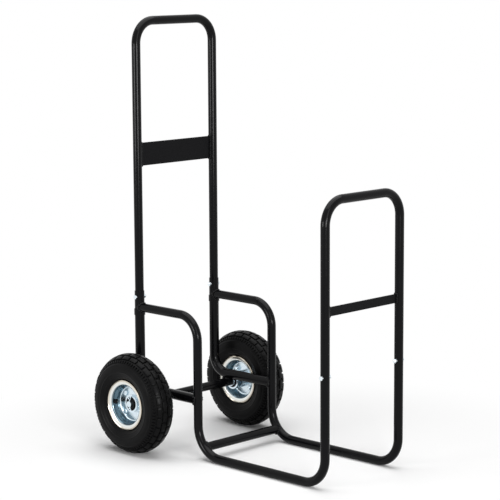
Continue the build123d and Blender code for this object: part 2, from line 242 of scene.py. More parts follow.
@dataclass(frozen=True)
class SpunFinish(Finish):
    """A metal finish with fine rings round the axle, left by pressing and turning.

    The bands tint it by distance from the axle: a dark band of painted shade over the drawn bowl, and a warm
    cream tint on the flange.
    """

    ring_mm: float = 2.2
    ring_share: float = 0.5
    ring_wobble: float = 0.4
    axle_place: tuple[float, float, float] = (0.0, 0.0, 0.0)
    bands_mm: tuple[tuple[float, str], ...] = ()

    def round_axle(self, tree: Tree, place: Socket) -> Socket:
        """Coordinates measured from the axle's middle.

        Args:
            tree: node tree of the material.
            place: coordinates of the surface.

        Returns:
            The shifted coordinates.
        """
        shift = {"Vector": place, "Location": [-value for value in self.axle_place]}
        return add_node(tree, "ShaderNodeMapping", shift).outputs["Vector"]

    def tint(self, tree: Tree, place: Socket, cloud: Socket) -> Socket:
        """Blend the two colours by the cloud, then multiply in the bands round the axle, which paint shade
        into the bowl.

        Args:
            tree: node tree of the material.
            place: coordinates of the surface.
            cloud: broad pattern from 0 to 1.

        Returns:
            Colour of the surface.
        """
        flat = {0: self.round_axle(tree, place), 1: (0.0, 1.0, 1.0)}
        across = add_node(tree, VECTOR_MATH, flat, operation="MULTIPLY").outputs[0]
        distance = add_node(tree, VECTOR_MATH, {0: across}, operation="LENGTH").outputs["Value"]
        reach = self.bands_mm[-1][0]
        share = add_node(tree, MAP_RANGE, {"Value": distance, "From Max": reach * MM}).outputs["Result"]
        # The ramp paints shade into the bowl by radius alone, whatever the light, and tints the flange warm
        # cream
        shade_ramp = add_node(tree, "ShaderNodeValToRGB", {"Fac": share})
        stops = shade_ramp.color_ramp.elements
        for stop, (radius, shade) in zip(stops, (self.bands_mm[0], self.bands_mm[-1])):
            stop.position = radius / reach
            stop.color = linear(shade)
        for radius, shade in self.bands_mm[1:-1]:
            stops.new(radius / reach).color = linear(shade)
        plain = super().tint(tree, place, cloud)
        both = {FACTOR: 1.0, COLOUR_A: plain, COLOUR_B: shade_ramp.outputs["Color"]}
        return add_node(tree, MIX, both, data_type="RGBA", blend_type="MULTIPLY").outputs[COLOUR_OUT]

    def grain(self, tree: Tree, place: Socket) -> Socket:
        """Mix rings round the axle with the plain grain.

        Args:
            tree: node tree of the material.
            place: coordinates of the surface.

        Returns:
            Height of the pattern, from 0 to 1.
        """
        scale = math.tau / (WAVE_RATE * self.ring_mm * MM)
        turned = {"Vector": self.round_axle(tree, place), "Scale": scale, "Distortion": self.ring_wobble}
        rings = add_node(tree, "ShaderNodeTexWave", turned, wave_type="RINGS", rings_direction="X")
        plain = super().grain(tree, place)
        both = {FACTOR: self.ring_share, NUMBER_A: plain, NUMBER_B: rings.outputs["Fac"]}
        return add_node(tree, MIX, both).outputs[0]


# Polyester powder coat, baked on: deep black gloss with a faint orange peel. The peel is drawn
# a little coarser than the real one so that it shows.
GLOSS_COAT = Finish(
    "gloss_black_powder_coat",
    colour="#040405",
    cloud_colour="#08080a",
    roughness=(0.14, 0.18),
    grain_mm=2.6,
    grain_height_mm=0.002,
    cloud_mm=60.0,
    specular=0.12,
)

# Finer powder coat on flat bar: a satin black that reads dark grey.
SATIN_COAT = Finish(
    "satin_black_powder_coat",
    colour="#0a0a0b",
    cloud_colour="#0e0e10",
    roughness=(0.42, 0.52),
    grain_mm=1.8,
    grain_height_mm=0.012,
    cloud_mm=45.0,
    specular=0.07,
)

# Zinc electroplate with a clear blue passivate on pressed steel: bright, cool white metal with soft clouds.
# A band of painted shade darkens the bowl of a rim all round, and the edge of its flange is tinted warm
# cream. The rings are drawn coarser than the marks of a real tool so that they show.
ZINC = SpunFinish(
    "blue_white_zinc_plate",
    colour="#e6edf1",
    cloud_colour="#f2f6f8",
    roughness=(0.16, 0.26),
    grain_mm=1.4,
    grain_height_mm=0.004,
    cloud_mm=16.0,
    metallic=1.0,
    # Colour by radius: the grey-blue band over the bowl is painted shade, and the cream ones tint the flange
    # warm
    bands_mm=(
        (45.0, "#eef6fb"),
        (46.5, "#74878f"),
        (50.5, "#74878f"),
        (53.0, "#fbf9f4"),
        (58.5, "#f6efe5"),
        (61.5, "#e4d5c2"),
        (65.0, "#e2d2be"),
        (66.0, "#f8fbfd"),
    ),
    axle_place=tuple(middle("axle")),
)

# Black oxide on a stamped washer: dark, oily steel.
BLACK_OXIDE = Finish(
    "black_oxide_steel",
    colour="#08080a",
    cloud_colour="#101012",
    roughness=(0.3, 0.45),
    grain_mm=1.0,
    grain_height_mm=0.01,
    cloud_mm=8.0,
    specular=0.1,
)

# Nitrile seals of the hub bearings: dull black rubber.
SEAL = Finish(
    "moulded_nitrile_seal",
    colour="#09090a",
    cloud_colour="#101011",
    roughness=(0.5, 0.65),
    grain_mm=0.8,
    grain_height_mm=0.01,
    cloud_mm=6.0,
    specular=0.1,
)

# Vulcanised tread rubber: soft black with a grey bloom, a faint sheen and a fine skin from the mould.
TYRE_RUBBER = Finish(
    "vulcanised_tyre_rubber",
    colour="#050505",
    cloud_colour="#0b0b0c",
    roughness=(0.28, 0.42),
    grain_mm=1.2,
    grain_height_mm=0.04,
    cloud_mm=30.0,
    specular=0.08,
)

# Butyl rubber of the inner tubes and valve grommets: smooth and slightly glossy.
BUTYL = Finish(
    "extruded_butyl_rubber",
    colour="#0e0e0f",
    cloud_colour="#18181a",
    roughness=(0.38, 0.5),
    grain_mm=1.5,
    grain_height_mm=0.01,
    cloud_mm=12.0,
    specular=0.12,
)

# Polyethylene of the valve caps: moulded, smooth black plastic.
CAP_PLASTIC = Finish(
    "moulded_black_polyethylene",
    colour="#060607",
    cloud_colour="#0b0b0d",
    roughness=(0.25, 0.35),
    grain_mm=1.0,
    grain_height_mm=0.008,
    cloud_mm=5.0,
    specular=0.12,
)


class Slot(Enum):
    """Material slots of the record, each with the finish that fills it."""

    BLACK_COAT = ("black_coat", GLOSS_COAT)
    SATIN_COAT = ("satin_coat", SATIN_COAT)
    ZINC_PLATE = ("zinc_plate", ZINC)
    BLACK_OXIDE = ("black_oxide", BLACK_OXIDE)
    BEARING_SEAL = ("bearing_seal", SEAL)
    TYRE_RUBBER = ("tyre_rubber", TYRE_RUBBER)
    BUTYL_RUBBER = ("butyl_rubber", BUTYL)
    CAP_PLASTIC = ("cap_plastic", CAP_PLASTIC)

    @property
    def label(self) -> str:
        """Name of the slot in the record."""
        return self.value[0]

    @property
    def finish(self) -> Finish:
        """Finish that fills the slot."""
        return self.value[1]


def dress_nodes() -> None:
    """Give every node of the frame the finish of its slot."""
    finishes = {slot.label: slot.finish for slot in Slot}
    for name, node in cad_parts.items():
        for material_slot in node.material_slots:
            material_slot.material = finishes[material_slot.material.name].material()
        log.info("dressed %s", name)


def node_tree(name: str, inputs: dict[str, str]) -> tuple[Tree, bpy.types.NodeOutputs]:
    """Start a Geometry Nodes tree with named inputs.

    Args:
        name: name of the tree.
        inputs: input name to the type of its socket, in order.

    Returns:
        The tree and the sockets that give its inputs.
    """
    tree = bpy.data.node_groups.new(name, "GeometryNodeTree")
    tree.interface.new_socket("Geometry", in_out="INPUT", socket_type="NodeSocketGeometry")
    tree.interface.new_socket("Geometry", in_out="OUTPUT", socket_type="NodeSocketGeometry")
    for label, kind in inputs.items():
        tree.interface.new_socket(label, in_out="INPUT", socket_type=f"NodeSocket{kind}")
    return tree, add_node(tree, "NodeGroupInput").outputs


def end_tree(tree: Tree, shape: Socket, finish: Socket) -> None:
    """Close a Geometry Nodes tree with real meshes and their material.

    Args:
        tree: tree to close.
        shape: geometry that the tree has made.
        finish: material input of the tree.
    """
    real = add_node(tree, "GeometryNodeRealizeInstances", {"Geometry": shape})
    dressed = {"Geometry": real.outputs["Geometry"], "Material": finish}
    coloured = add_node(tree, "GeometryNodeSetMaterial", dressed)
    add_node(tree, "NodeGroupOutput", {"Geometry": coloured.outputs["Geometry"]})


def apply_tree(piece: Piece, tree: Tree, values: dict[str, object]) -> None:
    """Put a Geometry Nodes tree on a piece and set its inputs.

    Args:
        piece: object that the tree works on.
        tree: tree to use.
        values: input name to its value.
    """
    modifier = piece.modifiers.new(tree.name, "NODES")
    modifier.node_group = tree
    for socket in tree.interface.items_tree:
        if socket.in_out == "INPUT" and socket.name in values:
            modifier[socket.identifier] = values[socket.name]


def new_piece(name: str, points: Sequence, edges: Sequence, faces: Sequence) -> Piece:
    """Make an object from plain mesh lists.

    Args:
        name: name of the piece.
        points: places of its points.
        edges: loose edges, as pairs of point numbers.
        faces: faces, as lists of point numbers.

    Returns:
        The object, linked to the scene.
    """
    mesh = bpy.data.meshes.new(name)
    mesh.from_pydata([tuple(point) for point in points], edges, faces)
    mesh.update()
    piece = bpy.data.objects.new(name, mesh)
    bpy.context.scene.collection.objects.link(piece)
    return piece


def settle(
    piece: Piece,
    slot: Slot,
    body: Body,
    place: Matrix | None = None,
    sharp_degrees: float = 35.0,
    replaces: Sequence[str] = (),
) -> None:
    """Turn a piece with modifiers into a plain mesh that rides its body.

    Args:
        piece: object to settle.
        slot: material slot that it takes its finish from.
        body: body that it moves with.
        place: where its mesh goes.
        sharp_degrees: edges that turn by more than this stay sharp.
        replaces: nodes that it stands for.
    """
    bpy.context.view_layer.update()
    evaluated = piece.evaluated_get(bpy.context.evaluated_depsgraph_get())
    mesh = bpy.data.meshes.new_from_object(evaluated)
    piece.modifiers.clear()
    old = piece.data
    piece.data = mesh
    bpy.data.meshes.remove(old)
    mesh.name = piece.name
    if place:
        mesh.transform(place)
    mesh.materials.clear()
    mesh.materials.append(slot.finish.material())
    mesh.shade_smooth()
    mesh.set_sharp_from_angle(angle=math.radians(sharp_degrees))
    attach(piece, body.value)
    if replaces:
        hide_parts(*replaces)
    log.info("made %s with %d faces", piece.name, len(mesh.polygons))


def stack_rings(name: str, rings: Sequence[Sequence[Vector]], closed: bool) -> Piece:
    """Skin a row of rings that all have the same number of points.

    Args:
        name: name of the piece.
        rings: closed rings of points, in order.
        closed: whether the last ring joins the first, or both ends are capped.

    Returns:
        The skinned object.
    """
    count = len(rings[0])
    points = [point for ring in rings for point in ring]
    faces = []
    for ring in range(len(rings) if closed else len(rings) - 1):
        near = ring * count
        far = (ring + 1) % len(rings) * count
        for corner in range(count):
            after = (corner + 1) % count
            faces.append((near + corner, near + after, far + after, far + corner))
    if not closed:
        faces.append(tuple(reversed(range(count))))
        faces.append(tuple(range(len(points) - count, len(points))))
    return new_piece(name, points, [], faces)


def lathe(name: str, outline: Sequence[Point], steps: int, closed: bool) -> Piece:
    """Turn an outline about the X axis.

    Args:
        name: name of the piece.
        outline: places along the axis and distances from it.
        steps: number of sections round the axis.
        closed: whether the outline is a loop.

    Returns:
        The turned object, with its faces outward where the outline runs towards +X over the top.
    """
    turns = [math.tau * step / steps for step in range(steps)]
    rings = [[Vector((x, -r * math.sin(a), r * math.cos(a))) for a in turns] for x, r in outline]
    return stack_rings(name, rings, closed)


def arc_points(start: Point, through: Point, end: Point, steps: int) -> list[Point]:
    """Points of the arc through three points, without the last one.

    Args:
        start: first point.
        through: point on the arc.
        end: last point.
        steps: number of pieces that the arc is cut into.

    Returns:
        The points, from the start to just before the end.
    """
    (ax, ay), (bx, by), (cx, cy) = start, through, end
    double_area = 2 * (ax * (by - cy) + bx * (cy - ay) + cx * (ay - by))
    squares = [x * x + y * y for x, y in (start, through, end)]
    ux = (squares[0] * (by - cy) + squares[1] * (cy - ay) + squares[2] * (ay - by)) / double_area
    uy = (squares[0] * (cx - bx) + squares[1] * (ax - cx) + squares[2] * (bx - ax)) / double_area
    radius = math.hypot(ax - ux, ay - uy)
    angles = [math.atan2(y - uy, x - ux) for x, y in (start, through, end)]
    sweep = (angles[2] - angles[0]) % math.tau
    if (angles[1] - angles[0]) % math.tau > sweep:
        sweep -= math.tau
    turns = [angles[0] + sweep * step / steps for step in range(steps)]
    return [(ux + radius * math.cos(turn), uy + radius * math.sin(turn)) for turn in turns]


def block_ring_tree() -> Tree:
    """Make the Geometry Nodes tree that adds a ring of tapered blocks round the X axis to a piece.

    Returns:
        The tree, with the number, size and place of the blocks as its inputs.
    """
    floats = dict.fromkeys(("Radius", "Offset", "Tilt", "Phase", "Inset"), "Float")
    inputs = {"Size": "Vector", "Count": "Int"} | floats | {"Finish": "Material"}
    tree, asked = node_tree("block_ring", inputs)
    size = add_node(tree, SEPARATE, {0: asked["Size"]}).outputs
    block = add_node(tree, "GeometryNodeMeshCube", {"Size": asked["Size"]} | BLOCK_POINTS)
    place = add_node(tree, "GeometryNodeInputPosition").outputs[0]
    part = add_node(tree, SEPARATE, {0: place}).outputs
    is_top = add_node(tree, MATH, {0: part["Z"], 1: 0.0}, operation="GREATER_THAN").outputs[0]
    draw_in = add_node(tree, MATH, {0: is_top, 1: asked["Inset"]}, operation="MULTIPLY").outputs[0]
    double = add_node(tree, MATH, {0: draw_in, 1: -2.0}, operation="MULTIPLY").outputs[0]
    shifts = {}
    for axis in ("X", "Y"):
        share = add_node(tree, MATH, {0: part[axis], 1: size[axis]}, operation="DIVIDE").outputs[0]
        shifts[axis] = add_node(tree, MATH, {0: share, 1: double}, operation="MULTIPLY").outputs[0]
    # The block bends down along the ring: a parabola stands in for the circle over so short a length
    square = add_node(tree, MATH, {0: part["Y"], 1: 2.0}, operation="POWER").outputs[0]
    across = add_node(tree, MATH, {0: asked["Radius"], 1: -2.0}, operation="MULTIPLY").outputs[0]
    shifts["Z"] = add_node(tree, MATH, {0: square, 1: across}, operation="DIVIDE").outputs[0]
    shift = add_node(tree, COMBINE, shifts).outputs[0]
    shaped = add_node(tree, "GeometryNodeSetPosition", {"Geometry": block.outputs["Mesh"], "Offset": shift})
    depth = add_node(tree, MATH, {0: size["Z"], 1: -0.5}, operation="MULTIPLY").outputs[0]
    down = add_node(tree, COMBINE, {"Z": depth}).outputs[0]
    sunk = add_node(tree, MOVE, {"Geometry": shaped.outputs["Geometry"], "Translation": down})
    lean = add_node(tree, COMBINE, {"Y": asked["Tilt"]}).outputs[0]
    leant = add_node(tree, TO_ROTATION, {0: lean}).outputs[0]
    stand = add_node(tree, COMBINE, {"X": asked["Offset"], "Z": asked["Radius"]}).outputs[0]
    on_ring = {"Geometry": sunk.outputs["Geometry"], "Rotation": leant, "Translation": stand}
    raised = add_node(tree, MOVE, on_ring).outputs["Geometry"]
    step = add_node(tree, MATH, {0: math.tau, 1: asked["Count"]}, operation="DIVIDE").outputs[0]
    number = add_node(tree, "GeometryNodeInputIndex").outputs[0]
    turn = add_node(tree, MATH, {0: number, 1: step, 2: asked["Phase"]}, operation="MULTIPLY_ADD").outputs[0]
    spin = add_node(tree, COMBINE, {"X": turn}).outputs[0]
    spun = add_node(tree, TO_ROTATION, {0: spin}).outputs[0]
    points = add_node(tree, "GeometryNodePoints", {"Count": asked["Count"]}).outputs[0]
    ring = add_node(tree, COPY, {"Points": points, "Instance": raised, "Rotation": spun})
    joined = add_node(tree, "GeometryNodeJoinGeometry")
    for shape in (asked["Geometry"], ring.outputs["Instances"]):
        tree.links.new(shape, joined.inputs[0])
    end_tree(tree, joined.outputs[0], asked["Finish"])
    return tree


def bead_tree() -> Tree:
    """Make the Geometry Nodes tree that lays a rippled weld bead along wire paths.

    Returns:
        The tree, with the sizes of the bead as its inputs.
    """
    floats = dict.fromkeys(("Radius", "Ripple", "Depth", "Unevenness", "Step"), "Float")
    tree, asked = node_tree("weld_bead", floats | {"Finish": "Material"})
    wire = add_node(tree, "GeometryNodeMeshToCurve", {"Mesh": asked["Geometry"]}).outputs["Curve"]
    steps = {"Curve": wire, "Length": asked["Step"]}
    path = add_node(tree, "GeometryNodeResampleCurve", steps, mode="LENGTH")
    run = add_node(tree, "GeometryNodeSplineParameter").outputs["Length"]
    cycles = add_node(tree, MATH, {0: run, 1: asked["Ripple"]}, operation="DIVIDE").outputs[0]
    turns = add_node(tree, MATH, {0: cycles, 1: math.tau}, operation="MULTIPLY").outputs[0]
    wave = add_node(tree, MATH, {0: turns}, operation="SINE").outputs[0]
    ripple = add_node(tree, MATH, {0: wave, 1: asked["Depth"], 2: 1.0}, operation="MULTIPLY_ADD").outputs[0]
    lumps = add_node(tree, NOISE, {"Scale": 1 / LUMP_SIZE, "Detail": LUMP_DETAIL}).outputs["Fac"]
    centred = add_node(tree, MATH, {0: lumps, 1: 0.5}, operation="SUBTRACT").outputs[0]
    uneven = {0: centred, 1: asked["Unevenness"], 2: ripple}
    scale = add_node(tree, MATH, uneven, operation="MULTIPLY_ADD").outputs[0]
    circle = {"Resolution": BEAD_SIDES, "Radius": asked["Radius"]}
    section = add_node(tree, "GeometryNodeCurvePrimitiveCircle", circle).outputs["Curve"]
    sweep = {"Curve": path.outputs["Curve"], "Profile Curve": section, "Scale": scale, "Fill Caps": True}
    bead = add_node(tree, "GeometryNodeCurveToMesh", sweep)
    end_tree(tree, bead.outputs["Mesh"], asked["Finish"])
    return tree


def fastener_tree() -> Tree:
    """Make the Geometry Nodes tree that sets a copy of one fastener on each point, along its direction.

    Returns:
        The tree, with the fastener as its input.
    """
    tree, asked = node_tree("fastener_set", {"Fastener": "Object", "Finish": "Material"})
    one = add_node(tree, "GeometryNodeObjectInfo", {"Object": asked["Fastener"]}).outputs["Geometry"]
    facing = add_node(tree, "GeometryNodeInputNamedAttribute", {"Name": "facing"}, data_type="FLOAT_VECTOR")
    way = {"Vector": facing.outputs["Attribute"]}
    turned = add_node(tree, "FunctionNodeAlignRotationToVector", way, axis="Z").outputs["Rotation"]
    copies = add_node(tree, COPY, {"Points": asked["Geometry"], "Instance": one, "Rotation": turned})
    end_tree(tree, copies.outputs["Instances"], asked["Finish"])
    return tree


@dataclass
class FrameSizes:
    """Places and sizes of the tube frame, measured on the nodes, in metres."""

    half_track: float = field(init=False)
    tube_radius: float = field(init=False)
    leg_radius: float = field(init=False)
    leg_y: float = field(init=False)
    riser_y: float = field(init=False)
    front_y: float = field(init=False)
    strut_level: float = field(init=False)
    axle_y: float = field(init=False)
    axle_level: float = field(init=False)
    axle_tube_radius: float = field(init=False)
    shelf_level: float = field(init=False)

    def __post_init__(self) -> None:
        """Read every size from the boxes of the nodes."""
        side_low, side_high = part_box("right_side_tube")
        leg_low, leg_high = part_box("right_rear_leg")
        tube_low, tube_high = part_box("axle_tube")
        self.half_track = (side_low.x + side_high.x) / 2
        self.tube_radius = (side_high.x - side_low.x) / 2
        self.leg_radius = (leg_high.x - leg_low.x) / 2
        self.leg_y = leg_high.y - self.leg_radius
        self.riser_y = leg_low.y
        self.front_y = side_low.y + self.tube_radius
        self.strut_level = leg_low.z + self.leg_radius
        self.axle_y = (tube_low.y + tube_high.y) / 2
        self.axle_level = (tube_low.z + tube_high.z) / 2
        self.axle_tube_radius = (tube_high.z - tube_low.z) / 2
        self.shelf_level = side_high.z - self.tube_radius


@dataclass
class WeldSeams:
    """Weld beads of the frame, coated together with the tubes."""

    sizes: FrameSizes
    bead_radius: float = 3.2 * MM
    ripple: float = 5.0 * MM
    ripple_depth: float = 0.2
    unevenness: float = 0.6
    step: float = 1.0 * MM
    bead_rise: float = 0.9 * MM
    loop_steps: int = 40
    axle_seam_reach: float = 9.0 * MM
    axle_seam_offset: float = 6.0 * MM
    smooth_degrees: float = 80.0
    paths: list[tuple[list[Vector], bool]] = field(default_factory=list)

    def saddle(
        self, centre: Vector, along: Vector, outward: Vector, main_radius: float, branch_radius: float
    ) -> None:
        """Add the seam where a branch tube meets the side of a main tube.

        Args:
            centre: point on the main tube's axis, under the branch.
            along: direction of the main tube.
            outward: direction that the branch leaves in.
            main_radius: radius of the main tube.
            branch_radius: radius of the branch tube.
        """
        across = along.cross(outward)
        loop = []
        for step in range(self.loop_steps):
            turn = math.tau * step / self.loop_steps
            aside = branch_radius * math.cos(turn)
            depth = math.sqrt(max(main_radius**2 - aside**2, 0.0))
            loop.append(centre + outward * depth + across * aside + along * (branch_radius * math.sin(turn)))
        self.paths.append((loop, True))

    def flat_bar(self, node: str, y: float) -> None:
        """Add the seam round each end of a flat bar between two legs.

        Args:
            node: flat bar.
            y: place of the legs.
        """
        low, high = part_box(node)
        offset = (high.y - low.y) / 2 + self.bead_rise
        reach = math.sqrt(self.sizes.tube_radius**2 - offset**2)
        for hand in Hand:
            x = hand.value * (self.sizes.half_track - reach - self.bead_rise)
            corners = ((-1, low.z), (-1, high.z), (1, high.z), (1, low.z))
            self.paths.append(([Vector((x, y + face * offset, z)) for face, z in corners], True))

    def axle_seats(self, hand: Hand) -> None:
        """Add the two short seams that hold the axle tube under a strut.

        Args:
            hand: side of the cart.
        """
        sizes = self.sizes
        for way in (-1, 1):
            run = []
            drop = math.sqrt(sizes.axle_tube_radius**2 - self.axle_seam_offset**2)
            for step in range(self.loop_steps + 1):
                aside = self.axle_seam_reach * (2 * step / self.loop_steps - 1)
                strut_bottom = sizes.strut_level - math.sqrt(sizes.leg_radius**2 - aside**2)
                level = (strut_bottom + sizes.axle_level + drop) / 2
                x = hand.value * sizes.half_track + aside
                run.append(Vector((x, sizes.axle_y + way * self.axle_seam_offset, level)))
            self.paths.append((run, False))

    def build(self) -> None:
        """Lay every bead of the frame, as one piece."""
        sizes = self.sizes
        up = Vector((0, 0, 1))
        heel = middle("heel_cross_tube")
        heel_slope = Vector((0, 1, 1)).normalized()
        self.flat_bar("handle_plate", sizes.leg_y)
        self.flat_bar("front_crossbar", sizes.front_y)
        for hand in Hand:
            x = hand.value * sizes.half_track
            shelf_end = Vector((x, sizes.leg_y, sizes.shelf_level))
            strut_end = Vector((x, sizes.riser_y, sizes.strut_level))
            heel_end = Vector((x, heel.y, heel.z))
            self.saddle(shelf_end, up, Vector((0, -1, 0)), sizes.leg_radius, sizes.tube_radius)
            self.saddle(strut_end, up, Vector((0, 1, 0)), sizes.tube_radius, sizes.leg_radius)
            inward = Vector((-hand.value, 0, 0))
            self.saddle(heel_end, heel_slope, inward, sizes.tube_radius, sizes.tube_radius)
            self.axle_seats(hand)
        points = []
        edges = []
        for path, closed in self.paths:
            first = len(points)
            points.extend(path)
            edges.extend((first + step, first + step + 1) for step in range(len(path) - 1))
            if closed:
                edges.append((len(points) - 1, first))
        piece = new_piece("weld_beads", points, edges, [])
        values = {
            "Radius": self.bead_radius,
            "Ripple": self.ripple,
            "Depth": self.ripple_depth,
            "Unevenness": self.unevenness,
            "Step": self.step,
            "Finish": GLOSS_COAT.material(),
        }
        apply_tree(piece, bead_tree(), values)
        settle(piece, Slot.BLACK_COAT, Body.FRAME, sharp_degrees=self.smooth_degrees)


@dataclass
class HexFastener:
    """A hex bolt or nut with chamfered corners and a washer face, made along +Z from its seat."""

    flats: float
    height: float
    diameter: float
    shank: float = 0.0
    pitch: float = 1.0 * MM
    chamfer_share: float = 0.95
    chamfer_degrees: float = 30.0
    washer_face: float = 0.4 * MM
    washer_share: float = 0.92
    thread_depth: float = 0.45 * MM
    sides: int = 36

    def ring(self, radius: Measure, level: Measure) -> list[Vector]:
        """One ring of points round the fastener's axis.

        Args:
            radius: distance from the axis, fixed or by angle.
            level: height above the seat, fixed or by angle.

        Returns:
            The ring's points.
        """
        points = []
        for step in range(self.sides):
            turn = math.tau * step / self.sides
            r = radius(turn) if callable(radius) else radius
            z = level(turn) if callable(level) else level
            points.append(Vector((r * math.cos(turn), r * math.sin(turn), z)))
        return points

    @property
    def top_radius(self) -> float:
        """Radius of the round flat that the chamfer leaves on top."""
        return self.chamfer_share * self.flats / 2

    def hex_radius(self, turn: float) -> float:
        """Distance from the axis to the hexagon's side at an angle."""
        sixth = math.pi / 3
        return self.flats / 2 / math.cos((turn + sixth / 2) % sixth - sixth / 2)

    def chamfer_level(self, turn: float) -> float:
        """Height at which the chamfer cuts the hexagon's side at an angle."""
        slope = math.tan(math.radians(self.chamfer_degrees))
        return self.height - slope * (self.hex_radius(turn) - self.top_radius)

    def head(self) -> list[list[Vector]]:
        """Outline the hexagon with its washer face and its chamfer.

        Returns:
            Rings of points, from the seat to the top.
        """
        washer_radius = self.washer_share * self.flats / 2
        return [
            self.ring(washer_radius, 0.0),
            self.ring(washer_radius, self.washer_face),
            self.ring(self.hex_radius, self.washer_face),
            self.ring(self.hex_radius, self.chamfer_level),
            self.ring(self.top_radius, self.height),
        ]

    def bolt(self, name: str) -> Piece:
        """Bolt with its head above the seat and a threaded shank below it.

        Args:
            name: name of the piece.

        Returns:
            The bolt.
        """
        major = self.diameter / 2
        minor = major - self.thread_depth
        rings = [self.ring(minor, -self.shank)]
        for turn in range(int(self.shank / self.pitch)):
            start = -self.shank + turn * self.pitch
            rings.append(self.ring(major, start + self.pitch / 2))
            rings.append(self.ring(minor, start + self.pitch))
        rings.append(self.ring(minor, 0.0))
        return stack_rings(name, rings + self.head(), closed=False)

    def nut(self, name: str) -> Piece:
        """Nut with a plain bore.

        Args:
            name: name of the piece.

        Returns:
            The nut.
        """
        bore = self.diameter / 2
        rings = [self.ring(bore, 0.0)] + self.head() + [self.ring(bore, self.height)]
        return stack_rings(name, rings, closed=True)


@dataclass
class BoltedJoint:
    """Hex bolts along X through a joint, each with its nut on the other side.

    The label starts the names of its nodes. The middles lie halfway along each bolt's grip, and the ways say
    whether its head faces +X or -X.
    """

    label: str
    body: Body
    tree: Tree
    flats: float
    diameter: float
    head: float
    nut_height: float
    half_grip: float
    middles: Sequence[Sequence[float]]
    ways: Sequence[int]
    pitch: float = 1.0 * MM
    thread_end: float = 3.0 * MM
    sharp_degrees: float = 25.0

    def build(self) -> None:
        """Make the bolts as one piece and the nuts as another."""
        shank = 2 * self.half_grip + self.nut_height + self.thread_end
        bolt = HexFastener(self.flats, self.head, self.diameter, shank, self.pitch).bolt("bolt")
        nut = HexFastener(self.flats, self.nut_height, self.diameter).nut("nut")
        for kind, side, fastener in (("bolts", 1, bolt), ("nuts", -1, nut)):
            faces = [side * way for way in self.ways]
            seats = [(x + face * self.half_grip, y, z) for (x, y, z), face in zip(self.middles, faces)]
            piece = new_piece(f"{self.label}_hex_{kind}", seats, [], [])
            facing = piece.data.attributes.new("facing", "FLOAT_VECTOR", "POINT")
            for item, face in zip(facing.data, faces):
                item.vector = (face, 0, 0)
            apply_tree(piece, self.tree, {"Fastener": fastener, "Finish": ZINC.material()})
            replaced = [f"{self.label}_{kind}"]
            settle(piece, Slot.ZINC_PLATE, self.body, sharp_degrees=self.sharp_degrees, replaces=replaced)
            bpy.data.objects.remove(fastener)


@dataclass
class FrameBolts:
    """Bolts and nuts that hold the front frame and the handle in their sockets."""

    sizes: FrameSizes
    tree: Tree
    bolt_diameter: float = 6 * MM

    def build(self) -> None:
        """Make both pairs of bolts and nuts where the nodes have them."""
        half_track = self.sizes.half_track
        for label, seat in (("front", self.sizes.tube_radius), ("handle", self.sizes.leg_radius)):
            low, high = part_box(f"{label}_bolts")
            centre = (low + high) / 2
            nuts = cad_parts[f"{label}_nuts"].data
            nut_end = min(abs(vertex.co.x) for vertex in nuts.vertices)
            BoltedJoint(
                label,
                Body.FRAME,
                self.tree,
                flats=high.y - low.y,
                diameter=self.bolt_diameter,
                head=high.x - half_track - seat,
                nut_height=half_track - seat - nut_end,
                half_grip=seat,
                middles=[(hand.value * half_track, centre.y, centre.z) for hand in Hand],
                ways=[hand.value for hand in Hand],
            ).build()


